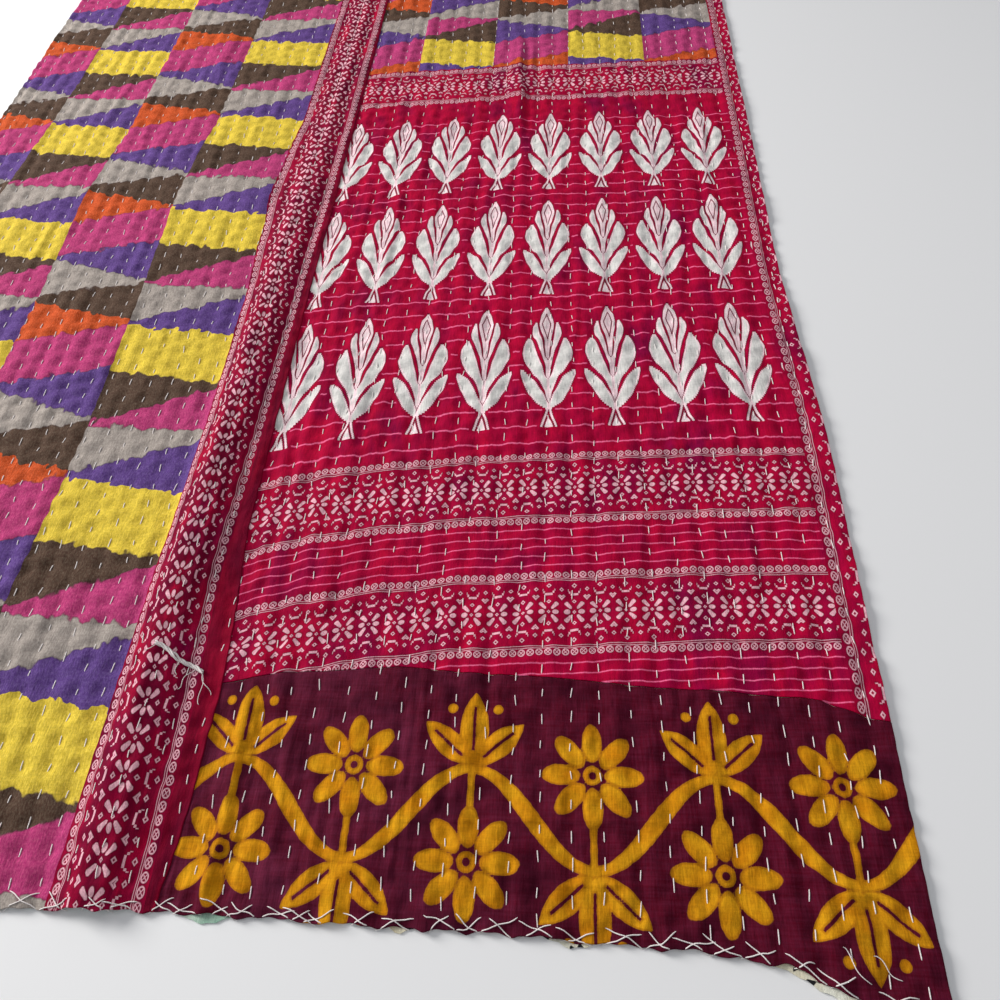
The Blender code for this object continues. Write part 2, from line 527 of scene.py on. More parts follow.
# ---------------------------------------------------------------------------------------------
# Left panel: a length of printed sari cotton. Most of it is a field of wedges in columns, then
# comes the sari's own border of printed rings, lines and flowers, and a plain strip that laps
# over the panels beside it. Rows of running stitches pucker all of it.
# ---------------------------------------------------------------------------------------------
TOP_RISE = 0.0032          # the top cloth's surface above the quilt's underside
TOP_LEAST = 0.0018         # where it is pressed down onto the back cloth
LAP_RISE = 0.0016          # the lapped strip's extra height
LAP_RISE_START = 0.016     # how far left of the middle it starts to rise
LAP_RISE_RUN = 0.012
LAP_EDGE = [
    # y, x of the lapped strip's folded edge
    (-1.145, 0.006),
    (-0.980, 0.019),
    (-0.870, 0.021),
    (-0.620, 0.004),
    (-0.300, 0.003),
    (0.100, 0.005),
    (0.600, 0.008),
    (1.145, 0.006),
]
BORDER_LEFT = [
    # y, x of the border's outer ring chain
    (-1.145, -0.094),
    (-0.780, -0.096),
    (-0.520, -0.090),
    (-0.250, -0.094),
    (-0.050, -0.104),
    (0.050, -0.111),
    (0.170, -0.104),
    (0.300, -0.094),
    (0.800, -0.094),
    (1.145, -0.096),
]
BORDER_RIGHT = [
    # y, x of the border's ring chain beside the plain strip
    (-1.145, -0.006),
    (-0.960, -0.008),
    (-0.700, -0.020),
    (-0.500, -0.016),
    (-0.200, -0.012),
    (0.100, -0.006),
    (0.350, -0.002),
    (0.750, 0.000),
    (1.145, -0.002),
]
BORDER_WIDTH = 0.099
CHAIN_SIDE = 0.0065        # from a ring chain's middle to the edge of its cloth strip

STITCH_ROW_GAP = 0.0315
STITCH_PITCH = 0.0295
STITCH_SHARE = 0.46
PUFF = 0.0020
TIE = 0.0014

CREASES = [
    # x and y of one end, x and y of the other, half width, height
    (0.330, 0.205, 0.322, 0.560, 0.012, 0.0035),
    (0.345, 0.215, 0.338, 0.540, 0.010, -0.0022),
    (0.032, -1.070, 0.036, -0.850, 0.008, -0.0026),
    (0.060, -1.075, 0.058, -0.860, 0.011, 0.0030),
    (0.082, -1.060, 0.078, -0.880, 0.008, -0.0020),
    (0.118, -1.070, 0.112, -0.900, 0.010, 0.0022),
    (0.150, -1.060, 0.156, -0.930, 0.009, -0.0014),
    (0.060, -1.015, 0.340, -1.022, 0.004, -0.0010),
    (0.180, -0.992, 0.560, -0.986, 0.003, 0.0008),
    (0.350, -1.048, 0.720, -1.040, 0.004, 0.0009),
    (0.026, -0.830, 0.022, -0.300, 0.010, -0.0018),
    (0.027, -1.100, 0.028, -0.840, 0.009, -0.0022),
    (-0.034, -1.110, -0.036, -0.420, 0.007, -0.0018),
    (-0.086, -1.080, -0.090, -0.500, 0.008, 0.0016),
    (0.206, -1.060, 0.200, -0.870, 0.010, 0.0016),
    (0.246, -1.050, 0.252, -0.860, 0.007, -0.0014),
    (0.300, -1.010, 0.296, -0.880, 0.008, 0.0014),
    (0.418, -0.480, 0.430, -0.220, 0.009, 0.0016),
    (0.505, -0.700, 0.512, -0.540, 0.008, 0.0016),
    (0.604, -0.690, 0.600, -0.520, 0.007, -0.0012),
    (0.640, -0.720, 0.636, -0.480, 0.010, 0.0018),
    (0.160, -0.720, 0.172, -0.560, 0.009, 0.0014),
    (0.120, -0.200, 0.128, 0.060, 0.011, 0.0018),
    (0.060, -0.780, 0.052, -0.420, 0.014, 0.0020),
    (-0.108, -0.860, -0.112, -0.330, 0.012, -0.0010),
    (-0.300, -0.900, -0.280, -0.200, 0.016, 0.0016),
    (-0.520, 0.150, -0.500, 0.700, 0.014, 0.0016),
    (-0.240, 0.620, -0.150, 0.600, 0.006, -0.0012),
    (0.420, -0.120, 0.640, -0.100, 0.010, 0.0010),
    (0.250, -0.560, 0.560, -0.520, 0.014, 0.0012),
    (0.560, 0.650, 0.540, 0.950, 0.014, 0.0018),
    (-0.640, -0.150, -0.620, 0.400, 0.014, 0.0016),
]

chance = np.random.default_rng(11)
ROW_COUNT = 52
row_phase = chance.random(ROW_COUNT)
row_pitch = STITCH_PITCH * (0.94 + 0.14 * chance.random(ROW_COUNT))
row_shift = 0.0035 * (chance.random(ROW_COUNT) - 0.5)


def rumple(x, y, size_x, size_y, seed):
    """Smooth uneven heights from -1 to 1, with lumps of the given size each way."""
    lattice = np.random.default_rng(seed).random((97, 97)) * 2.0 - 1.0
    u, v = x / size_x + 41.3, y / size_y + 57.9
    low_u, low_v = np.floor(u).astype(int), np.floor(v).astype(int)
    u, v = u - low_u, v - low_v
    u, v = u * u * (3.0 - 2.0 * u), v * v * (3.0 - 2.0 * v)
    low_u, low_v = low_u % 96, low_v % 96
    low = lattice[low_v, low_u] * (1.0 - u) + lattice[low_v, low_u + 1] * u
    high = lattice[low_v + 1, low_u] * (1.0 - u) + lattice[low_v + 1, low_u + 1] * u
    return low * (1.0 - v) + high * v


def wander(x, y):
    """How far the stitch rows stray sideways at each place."""
    return 0.0045 * rumple(x, y, 0.22, 0.33, 3) + 0.0014 * rumple(x, y, 0.05, 0.07, 4)


def nearest_row(x, y):
    """The nearest stitch row, the distance from it and the place along its stitches."""
    across = (x + HALF_WIDTH - wander(x, y)) / STITCH_ROW_GAP
    row = np.clip(np.round(across - 0.5), 0, ROW_COUNT - 1).astype(int)
    away = (across - 0.5 - row) * STITCH_ROW_GAP - row_shift[row]
    part = y / row_pitch[row] + row_phase[row]
    return row, away, part - np.floor(part)


def creased(x, y):
    """Height of the creases, each a soft trough or ridge that fades at its ends."""
    height = np.zeros_like(x)
    for start_x, start_y, end_x, end_y, half_width, crease in CREASES:
        run = np.array((end_x - start_x, end_y - start_y))
        length = np.hypot(*run)
        run = run / length
        down = (x - start_x) * run[0] + (y - start_y) * run[1]
        aside = (x - start_x) * run[1] - (y - start_y) * run[0]
        aside = aside + 0.004 * rumple(x, y, 0.09, 0.09, 8)
        ends = np.clip(np.minimum(down, length - down) / (0.18 * length) + 0.5, 0.0, 1.0)
        height = height + crease * hump(aside, half_width) * ends
    return height


def quilted(x, y):
    """Height that the quilting gives the top cloth: puffs between rows, dips at stitches."""
    _, away, part = nearest_row(x, y)
    close = np.exp(-(away / 0.0100) ** 2)
    puff = PUFF * (1.0 - np.exp(-(away / 0.0075) ** 2))
    tie = TIE * close * np.cos(2.0 * np.pi * (part - STITCH_SHARE / 2 - 0.5))
    ripple = 0.0013 * rumple(x, y, 0.0100, 0.036, 21) + 0.0009 * rumple(x, y, 0.026, 0.0125, 22)
    fine = 0.00045 * rumple(x, y, 0.0085, 0.0080, 23)
    slow = 0.0011 * rumple(x, y, 0.11, 0.16, 24)
    return puff * (1.0 + 0.35 * rumple(x, y, 0.07, 0.09, 25)) + tie + ripple + fine + slow


def top_height(x, y):
    loft = TOP_RISE + creased(x, y) + quilted(x, y)
    soft = TOP_LEAST + 0.0006
    pressed = TOP_LEAST + 0.0006 * np.exp(np.minimum(loft - soft, 0.0) / 0.0006)
    return lie(x, y) + np.where(loft > soft, loft, pressed)


def turned_under(points, side, reach_out):
    """Adds the folded edge at one side of a grid of points: it rolls over and back under."""
    fold = [(0.40, 0.10), (0.85, 0.38), (1.00, 0.80), (0.70, 1.15), (-4.0, 1.20)]
    first = side in ("foot", "left")
    axis = 0 if side in ("foot", "head") else 1
    direction = {"foot": (0, -1), "head": (0, 1), "left": (-1, 0), "right": (1, 0)}[side]
    edge = np.take(points, [0 if first else -1], axis=axis)
    lines = []
    for out, drop in fold:
        line = edge.copy()
        line[..., 0] += direction[0] * out * reach_out
        line[..., 1] += direction[1] * out * reach_out
        line[..., 2] -= drop * reach_out * 1.15
        lines.append(line)
    if first:
        return np.concatenate(lines[::-1] + [points], axis=axis)
    return np.concatenate([points] + lines, axis=axis)


FOLD_LINES = 5
FOLD_REACH = 0.0012


def padded_like(values, sides):
    """Repeats a grid's edge values along the sides that are turned under."""
    before = (FOLD_LINES if "foot" in sides else 0, FOLD_LINES if "left" in sides else 0)
    after = (FOLD_LINES if "head" in sides else 0, FOLD_LINES if "right" in sides else 0)
    return np.pad(values, ((before[0], after[0]), (before[1], after[1])), mode="edge")


def grid_normals(points):
    """Which way the cloth faces at each point of a grid."""
    down = np.gradient(points, axis=0)
    right = np.gradient(points, axis=1)
    normal = np.cross(right, down)
    return normal / np.maximum(np.linalg.norm(normal, axis=-1, keepdims=True), 1e-12)


def lay_panel(names, cuts, points, cloth_u, cloth_v, region, read_print, materials, sides):
    """Makes one panel's sections from its grid of points, cut at the given rows.

    region tells each cell's part of the print, and read_print gives the place in that part's
    print for each corner of each cell.
    """
    for side in sides:
        points = turned_under(points, side, FOLD_REACH)
    cloth_u, cloth_v = padded_like(cloth_u, sides), padded_like(cloth_v, sides)
    region = padded_like(region, sides)
    cuts = [0] + [cut + (FOLD_LINES if "foot" in sides else 0) for cut in cuts]
    cuts.append(points.shape[0] - 1)
    normals = grid_normals(points)
    pieces = []
    for name, first, last in zip(names, cuts, cuts[1:]):
        part = slice(first, last + 1)
        quads = grid_quads(last + 1 - first, points.shape[1])
        u, v = cloth_u[part].ravel()[quads], cloth_v[part].ravel()[quads]
        cell = region[first:last].ravel()
        print_u, print_v = read_print(cell, u, v)
        piece = sheet_object(
            name, points[part].reshape(-1, 3), quads, materials, cell // 100,
            np.stack([u, v], axis=-1), np.stack([print_u, print_v], axis=-1),
            normals[part])
        pieces.append(piece)
    return pieces


CRIMSON = srgb(164, 0, 52)
CRIMSON_BRIGHT = srgb(184, 2, 50)
CRIMSON_DARK = srgb(128, 0, 56)
PALE_PINK = srgb(243, 186, 198)
STRIPE_PINK = srgb(240, 108, 152)
CRIMSON_DEEP = srgb(92, 0, 38)
SPRIG_GREY = srgb(219, 216, 212)

WEDGE_YELLOW = srgb(230, 200, 58)
WEDGE_BROWN = srgb(78, 56, 40)
WEDGE_PINK = srgb(188, 50, 116)
WEDGE_GREY = srgb(168, 158, 150)
WEDGE_PURPLE = srgb(90, 58, 134)
WEDGE_ORANGE = srgb(206, 78, 8)
WEDGE_EDGE = srgb(58, 34, 40)


def wedge_cotton(name, rows):
    """One column of the field: bands of colour whose edges slant by turns.

    Each row gives a band's colour and how far down the repeat it ends at the column's left
    and right side.
    """
    material, tree, cloth, place = start_cloth(name)
    across, down = split(tree, place)
    lobes = grain(tree, cloth, 58.0, 1.0)
    teeth = grain(tree, stretched(tree, cloth, 170.0, 60.0), 1.0, 1.0)
    down = down + lobes.scaled(0.092, -0.046) + teeth.scaled(0.014, -0.007)
    down = down.work("FRACT")
    ground = rows[0][0]
    for (_, left_end, right_end), (colour, _, _) in zip(rows, rows[1:]):
        line = across.scaled(right_end - left_end, left_end)
        ground = dyed(tree, ground, colour, down.above(line, 0.006))
        edge = abs(down - line).below(0.004, 0.009)
        ground = dyed(tree, ground, WEDGE_EDGE, edge * 0.5)
    heather = grain(tree, stretched(tree, cloth, 560.0, 240.0), 1.0, 3.0, 0.75)
    pale = dyed(tree, ground, srgb(232, 222, 205), heather.above(0.56, 0.3) * 0.09)
    dark = dyed(tree, pale, srgb(60, 38, 48), heather.below(0.46, 0.3) * 0.36)
    return finish_cloth(material, cloth, dark, 1.0)


WEDGES_ONE = [
    # colour, where it ends at the left side, where at the right side
    (WEDGE_YELLOW, 0.333, 0.335),
    (WEDGE_BROWN, 0.660, 0.365),
    (WEDGE_PINK, 0.685, 0.645),
    (WEDGE_GREY, 0.975, 0.700),
    (WEDGE_PURPLE, 1.0, 1.0),
]
WEDGES_TWO = [
    # colour, where it ends at the left side, where at the right side
    (WEDGE_ORANGE, 0.305, 0.025),
    (WEDGE_PINK, 0.610, 0.340),
    (WEDGE_PURPLE, 0.640, 0.678),
    (WEDGE_GREY, 0.945, 0.700),
    (WEDGE_BROWN, 1.0, 1.0),
]
WEDGE_REPEAT = 0.295
WEDGE_SLANTS = (0.025, 0.045)          # how much each kind of column leans, left to right


RING_SIZE = 3.6
RING_LINE = 0.62
FLOWERS_REACH = 39.0       # millimetres from the band's middle to the last of its flowers
LINES_MIDDLE = 42.6
CHAIN_MIDDLE = 49.0


class Print:
    """Distances, in millimetres, for drawing the border's motifs on the cloth."""

    def __init__(self, tree, along_it, across_it):
        self.tree = tree
        self.a = along_it
        self.b = across_it

    def diamond(self, a, b, size, line):
        """An open diamond with its middle at a, b."""
        span = abs(self.a - a) + abs(self.b - b)
        return abs(span - size) - line

    def petal(self, middle, length, width, slope):
        """A bar petal that points away from the flower's middle and widens outwards."""
        run = math.hypot(1.0, slope)
        out = self.a * (1.0 / run) + self.b * (slope / run)
        aside = self.a * (slope / run) - self.b * (1.0 / run)
        half = out.scaled(0.12, width)
        flat = (abs(aside) - half).greater(abs(out - middle) - length)
        return flat.greater((abs(aside) + abs(out - middle) - half - length) * 0.8 + 1.1)


def ring_chain(tree, run, aside, pitch):
    """A chain of small rings, each with a cross in it."""
    run = run.repeated(pitch)
    span = reach(tree, run, aside)
    ring = abs(span - RING_SIZE) - RING_LINE
    cross = (abs(abs(run) - abs(aside)) - RING_LINE).greater(span - RING_SIZE)
    return ring.lesser(cross)


def flower_band(tree, run, aside, pitch):
    """Flowers in a row with arches, diamonds and hearts on both sides of them."""
    art = Print(tree, run.folded(pitch), abs(aside))
    flower = art.diamond(0.0, 0.0, 1.5, 0.75)
    side = reach(tree, (art.a - 8.4) / 3.7, art.b / 2.8).scaled(2.8, -2.8)
    petal = art.petal(10.4, 5.6, 0.95, 1.14)
    small = art.diamond(0.0, 13.6, 2.0, 0.8)
    rise = (art.a - 2.6).greater(0.0).stepped(2.0).scaled(1.3, 23.2)
    arch = (abs(art.b - rise) - 1.35).greater(art.a - 7.4)
    crown = art.diamond(0.0, 34.2, 2.3, 0.85)
    aside_heart = art.a.scaled(-1.0, pitch / 2.0)
    up = art.b - 18.6
    point_down = (aside_heart - up * 0.85 - 3.5) * 0.76
    heart = point_down.greater(up + abs(aside_heart - 2.2) * 0.8 - 3.6)
    heart = abs(heart + 1.1) - 0.85
    between = Print(tree, aside_heart, art.b)
    dot = between.diamond(0.0, 29.0, 2.0, 0.85)
    found = flower
    for shape in (side, petal, small, arch, crown, heart, dot):
        found = found.lesser(shape)
    return found


def printed_band(tree, run, aside, pitch, ring_pitch):
    """A whole band: flowers, then two lines and a ring chain on both sides."""
    edge = abs(aside)
    flowers = flower_band(tree, run, aside, pitch).greater(edge - FLOWERS_REACH)
    lines = abs(abs(edge - LINES_MIDDLE) - 1.25) - 0.38
    chain = ring_chain(tree, run, edge - CHAIN_MIDDLE, ring_pitch)
    return flowers.lesser(lines).lesser(chain)


def crimson_ground(tree, cloth):
    """The sari's crimson, redder in some patches and darker in others."""
    patches = grain(tree, cloth, 8.0, 2.0)
    ground = dyed(tree, CRIMSON_DARK, CRIMSON, patches.above(0.42, 0.2))
    streaks = grain(tree, stretched(tree, cloth, 45.0, 14.0), 1.0, 3.0)
    return dyed(tree, ground, CRIMSON_BRIGHT, streaks.above(0.55, 0.25) * 0.8)


def wobbly(tree, cloth, reading, scale, amount):
    """A reading that strays a little, as print does on crumpled cloth."""
    return reading + grain(tree, cloth, scale, 1.0).scaled(2.0 * amount, -amount)


def ink(tree, cloth, cover):
    """Print that has worn thin here and there."""
    thin = grain(tree, cloth, 330.0, 2.0, 0.7)
    return cover * thin.scaled(0.9, 0.45).work("MINIMUM", 1.0)


def border_cotton(name, ring_pitch, soil_and_shade):
    """A border printed with rings, lines and flowers, darkened in random patches: a little as
    the cloth's own uneven tone, and heavily on the ridge as painted shade.
    """
    material, tree, cloth, place = start_cloth(name)
    across, lengthwise = split(tree, place)
    run = wobbly(tree, cloth, lengthwise * 1000.0, 60.0, 0.8)
    aside = wobbly(tree, cloth, across * 1000.0, 55.0, 0.7)
    shape = printed_band(tree, run, aside, ring_pitch * 3.0, ring_pitch)
    patches = grain(tree, stretched(tree, cloth, 45.0, 12.0), 1.0, 2.0).above(0.45, 0.3)
    # Darker patches: a small amount is uneven tone of the cloth, the ridge border's large amount
    # is painted shade.
    ground = dyed(tree, crimson_ground(tree, cloth), CRIMSON_DEEP, patches * soil_and_shade)
    ground = dyed(tree, ground, CRIMSON_DEEP, shape.below(0.9, 1.2) * 0.6)
    colour = dyed(tree, ground, PALE_PINK, ink(tree, cloth, shape.below(0.0, 0.7)))
    return finish_cloth(material, cloth, colour, 0.7)


def strip_cotton(name):
    """The plain dark red strip beside the border: its own dark red, darkened further as painted
    shade for the shaded side of the ridge.
    """
    material, tree, cloth, _ = start_cloth(name)
    patches = grain(tree, stretched(tree, cloth, 60.0, 9.0), 1.0, 2.0)
    # The strip's own dark red, made darker still as painted shade.
    ground = dyed(tree, srgb(104, 0, 36), srgb(140, 2, 40), patches.above(0.5, 0.3))
    return finish_cloth(material, cloth, ground, 0.7)


wedge_one = wedge_cotton("wedge_cotton_one", WEDGES_ONE)
wedge_two = wedge_cotton("wedge_cotton_two", WEDGES_TWO)
border_print = border_cotton("border_cotton", 10.1, 0.1)
# The ridge border is darkened heavily as painted shade.
ridge_print = border_cotton("border_cotton_ridge_painted_shade", 10.1, 0.75)
plain_strip = strip_cotton("strip_cotton")

FIELD_ONE, FIELD_TWO, BORDER, STRIP = 0, 100, 200, 300
WEDGE_WIDTH = 0.178
WEDGE_TOPS = (0.613, 0.668)            # where each kind of column starts a repeat
BORDER_STRETCH = 1.32                  # the border's print is longer along the quilt
FIELD_SIDE = 0.094                     # from the quilt's middle line to the field
SCALLOP_DEPTH = 0.0032
LEFT_CUTS = [190, 378]

left_rows = spread((0.0, 1.0, 564))
field_cells = (40, 44, 44, 44)
field_edges = [-(HALF_WIDTH - FIELD_SIDE)] + [-WEDGE_WIDTH * k for k in (3, 2, 1, 0)]
field_columns = spread(*[(field_edges[i], field_edges[i + 1], field_cells[i]) for i in range(4)])
border_columns = spread((0.0, 1.0, 40))
strip_columns = spread((0.0, 1.0, 9))


def place_left(rows):
    """The left panel's points on the floor plan, and its print's own places."""
    part = rows[:, None]
    lengthwise = FOOT_Y + 0.05 + (HEAD_Y - FOOT_Y - 0.055) * part
    border_left = along(BORDER_LEFT, lengthwise) - CHAIN_SIDE
    border_right = along(BORDER_RIGHT, lengthwise) + CHAIN_SIDE
    edge = left_edge(lengthwise)
    share = (field_columns - field_columns[0]) / (0.0 - field_columns[0])
    share = share[None, :]
    field_x = border_left + field_columns[None, :] + (1.0 - share) ** 4 * (
        edge - border_left - field_columns[0])
    border_x = border_left + (border_right - border_left) * border_columns[None, :]
    strip_x = border_right + (along(LAP_EDGE, lengthwise) - border_right) * strip_columns
    x = np.concatenate([field_x, border_x[:, 1:], strip_x[:, 1:]], axis=1)
    field_u = np.broadcast_to(field_columns[None, :], field_x.shape)
    wide = BORDER_WIDTH + 2.0 * CHAIN_SIDE
    border_u = np.broadcast_to(border_columns[None, 1:] * wide, border_x[:, 1:].shape)
    strip_u = wide + 0.02 * np.broadcast_to(strip_columns[None, 1:], strip_x[:, 1:].shape)
    u = np.concatenate([field_u, border_u, strip_u], axis=1)
    foot, head = foot_edge(x), head_edge(x)
    y = foot + (head - foot) * part
    y = y + scalloped(x) * (1.0 - part) ** 60
    return x, y, u, y.copy()


def scalloped(x):
    """How far the edge stitches draw the foot edge in, one scallop after another."""
    scallop = np.abs(np.sin(x * 58.0 + 0.9 * np.sin(x * 21.0)))
    return SCALLOP_DEPTH * scallop + 0.0006 * np.sin(x * 310.0)


def climb(x):
    """The plain strip rises onto the panels that it covers."""
    return LAP_RISE * np.clip((x + LAP_RISE_START) / LAP_RISE_RUN, 0.0, 1.0)


x, y, u, v = place_left(left_rows)
z = top_height(x, y) + climb(x)
left_points = np.stack([x, y, z], axis=-1)
field_count, border_count = len(field_columns) - 1, len(border_columns) - 1
cell_u = (u[:, :-1] + u[:, 1:]) / 2.0
column_of = np.floor(-cell_u / WEDGE_WIDTH).astype(int)
region = np.where(column_of % 2 == 0, FIELD_ONE, FIELD_TWO) + np.clip(column_of, 0, 9)
region[:, field_count:] = BORDER
region[:, field_count + border_count:] = STRIP


def read_left_print(cell, u, v):
    """Where each corner lies in its own part of the print."""
    kind, column = cell // 100, cell % 100
    right_side = -WEDGE_WIDTH * column[:, None]
    part = (u - right_side) / WEDGE_WIDTH + 1.0
    slant = np.take(WEDGE_SLANTS, np.clip(kind, 0, 1))[:, None]
    top = np.take(WEDGE_TOPS, np.clip(kind, 0, 1))[:, None] - 0.012 * (column[:, None] // 2)
    down = (top - v - slant * part) / WEDGE_REPEAT
    in_field = (kind < 2)[:, None]
    print_u = np.where(in_field, part, u - CHAIN_SIDE - BORDER_WIDTH / 2)
    print_v = np.where(in_field, down, v / BORDER_STRETCH)
    return print_u, print_v


left_sections = lay_panel(
    ["left_panel_foot", "left_panel_middle", "left_panel_head"], LEFT_CUTS, left_points,
    u, v, region, read_left_print,
    [wedge_one, wedge_two, ridge_print, plain_strip], ["foot", "head", "left", "right"])
for section, length in zip(left_sections, (0.78, 0.755, 0.755)):
    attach(section, "root")
    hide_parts("left_panel")

# ---------------------------------------------------------------------------------------------
# Right panel: the showy end of the same sari, cut so that its rows of leafy sprigs and its two
# flower bands cross the quilt. Its own border runs down the right side with the flowers turned
# under, and above the sprigs the field of wedges starts again, turned end for end.
# ---------------------------------------------------------------------------------------------
END_SEAM = [
    # x, y
    (0.000, -0.853),
    (0.110, -0.836),
    (0.225, -0.828),
    (0.340, -0.834),
    (0.560, -0.846),
    (0.665, -0.852),
    (0.760, -0.876),
]
SAG = [
    # x, how far the print sags there when it sags fully
    (0.000, -0.076),
    (0.050, -0.061),
    (0.100, -0.048),
    (0.200, -0.031),
    (0.300, -0.019),
    (0.400, -0.013),
    (0.500, -0.007),
    (0.600, -0.002),
    (0.700, 0.000),
    (0.760, 0.000),
]
SAG_STRENGTH = [
    # y, share of the full sag
    (-1.145, 1.00),
    (-0.700, 1.00),
    (-0.370, 0.60),
    (-0.100, 0.40),
    (0.170, 0.25),
    (0.400, 0.20),
    (1.145, 0.20),
]
RIGHT_START = -0.005       # the panel's left side, hidden under the plain strip
SIDE_BORDER = 0.7225       # where its side border starts, on the flat cloth
BORDER_SHOWS = 0.0345      # how much of the side border shows before the edge
SPRIG_PITCH = 92.8
SPRIG_MIDDLE = 482.0
SPRIG_ROW_PITCH = 263.5
SPRIG_FOOT = -472.0
FIELD_FOOT = 0.4655        # where the wedges start above the top band

SPRIG_LOWER = [
    # height, inner side, outer side of the lower leaf
    (31.0, 0.0, 4.0),
    (36.0, 0.0, 10.5),
    (42.0, 0.0, 16.5),
    (49.0, 3.0, 21.5),
    (64.0, 9.5, 28.5),
    (75.0, 14.5, 33.5),
    (90.0, 22.0, 38.0),
    (98.0, 29.0, 40.0),
    (105.0, 36.0, 39.5),
]
SPRIG_SECOND = [
    # height, inner side, outer side of the second leaf
    (45.0, 0.0, 2.5),
    (64.0, 0.0, 5.0),
    (75.0, 0.0, 8.5),
    (88.0, 0.0, 14.0),
    (92.0, 3.5, 16.0),
    (98.0, 5.5, 21.0),
    (110.0, 8.5, 27.5),
    (125.0, 12.0, 34.0),
    (138.0, 15.5, 37.0),
    (151.0, 19.0, 35.5),
    (160.0, 22.0, 32.5),
    (168.5, 25.0, 28.0),
]
SPRIG_THIRD = [
    # height, inner side, outer side of the third leaf
    (85.0, 0.0, 2.5),
    (110.0, 0.0, 3.5),
    (125.0, 0.0, 6.0),
    (133.0, 4.0, 7.5),
    (138.0, 4.8, 9.0),
    (151.0, 6.5, 13.0),
    (163.0, 8.5, 17.0),
    (172.0, 10.5, 20.5),
    (180.0, 12.0, 22.0),
    (190.0, 13.0, 21.0),
    (201.0, 14.5, 17.0),
]
SPRIG_BUD = [
    # height, inner side, outer side of the bud
    (120.0, 0.0, 1.5),
    (133.0, 0.0, 2.3),
    (150.0, 0.0, 3.6),
    (163.0, 0.0, 4.6),
    (172.0, 0.0, 6.2),
    (180.0, 0.0, 8.2),
    (190.0, 0.0, 10.0),
    (199.0, 0.0, 10.8),
    (214.0, 0.0, 8.0),
    (225.0, 0.0, 4.0),
    (232.0, 0.0, 0.8),
]
SPRIG_KITE = [
    # height, side
    (167.0, 0.0),
    (199.0, 6.3),
    (218.0, 0.0),
]
SPRIG_FEET = [
    # height, side
    (0.0, 10.5),
    (33.0, 1.0),
]
CHART_HEIGHT, CHART_WIDTH = 240.0, 48.0


def charted(reading, rows, column=1):
    """Reads a motif's side at each height from its chart."""
    node = reading.tree.nodes.new("ShaderNodeFloatCurve")
    curve = node.mapping.curves[0]
    while len(curve.points) < len(rows):
        curve.points.new(0.5, 0.5)
    for spot, row in zip(curve.points, rows):
        spot.location = (row[0] / CHART_HEIGHT, row[column] / CHART_WIDTH)
        spot.handle_type = "VECTOR"
    node.mapping.extend = "HORIZONTAL"
    node.mapping.update()
    scaled = reading * (1.0 / CHART_HEIGHT)
    reading.tree.links.new(scaled.socket, node.inputs["Value"])
    return Reading(reading.tree, node.outputs[0]) * CHART_WIDTH


def sprig_leaf(a, b, rows):
    """How far outside one of the sprig's leaves each place is, in millimetres."""
    side = (charted(b, rows, 1) - a).greater(a - charted(b, rows, 2))
    middle = (rows[0][0] + rows[-1][0]) / 2.0
    return side.greater(abs(b - middle) - (rows[-1][0] - rows[0][0]) / 2.0)


def sprig_shape(a, b):
    """The whole sprig: three pairs of leaves and a bud, each outlined against the next."""
    lower = sprig_leaf(a, b, SPRIG_LOWER)
    second = sprig_leaf(a, b, SPRIG_SECOND)
    third = sprig_leaf(a, b, SPRIG_THIRD)
    bud = sprig_leaf(a, b, SPRIG_BUD)
    kite = (abs(a - charted(b, SPRIG_KITE)) - 0.85).greater(abs(b - 192.5) - 26.0)
    bud = bud.greater(kite * -1.0)
    found = lower.lesser(second.greater(lower * -1.0 + 1.3))
    found = found.lesser(third.greater(second * -1.0 + 1.3))
    found = found.lesser(bud.greater(third * -1.0 + 1.3))
    legs = (abs(a - charted(b, SPRIG_FEET)) - 1.5).greater(abs(b - 16.0) - 17.0)
    heel = (a + b * 0.3 - 6.0).greater(b * -1.0)
    return found.lesser(legs).lesser(heel)


def sprig_cotton(name):
    """Crimson cotton with rows of pale sprigs and thin pink lines between them."""
    material, tree, cloth, place = start_cloth(name)
    across, lengthwise = split(tree, place)
    x = wobbly(tree, cloth, across * 1000.0, 30.0, 1.5)
    y = wobbly(tree, cloth, lengthwise * 1000.0, 26.0, 1.5)
    a = (x - SPRIG_MIDDLE).folded(SPRIG_PITCH)
    height = (y - SPRIG_FOOT).work("WRAP", SPRIG_ROW_PITCH, 0.0)
    stepped = height.stepped(3.0) + 1.5
    rows = y.above(-478.0, 1.0) * y.below(300.0, 1.0)
    shape = sprig_shape(a, stepped)
    waver = grain(tree, stretched(tree, cloth, 70.0, 20.0), 1.0, 2.0).scaled(7.0, -3.5)
    line = abs((y + waver + 470.0).repeated(28.3)) - 1.15
    lines = line.below(0.0, 0.9) * y.above(-505.0, 1.0) * y.below(268.0, 1.0)
    near = shape.above(5.0, 1.0).greater(rows * -1.0 + 1.0)
    ground = crimson_ground(tree, cloth)
    ground = dyed(tree, ground, STRIPE_PINK, ink(tree, cloth, lines * near))
    ground = dyed(tree, ground, CRIMSON_DEEP, shape.below(1.2, 1.0) * rows * 0.85)
    cover = shape.below(0.0, 0.8) * rows
    rim = shape.above(-2.2, 1.2)
    pale = dyed(tree, SPRIG_GREY, srgb(246, 214, 220), rim)
    blotch = grain(tree, cloth, 45.0, 3.0).above(0.6, 0.2)
    pale = dyed(tree, pale, srgb(190, 190, 186), blotch * 0.6)
    return finish_cloth(material, cloth, dyed(tree, ground, pale, cover), 0.8)


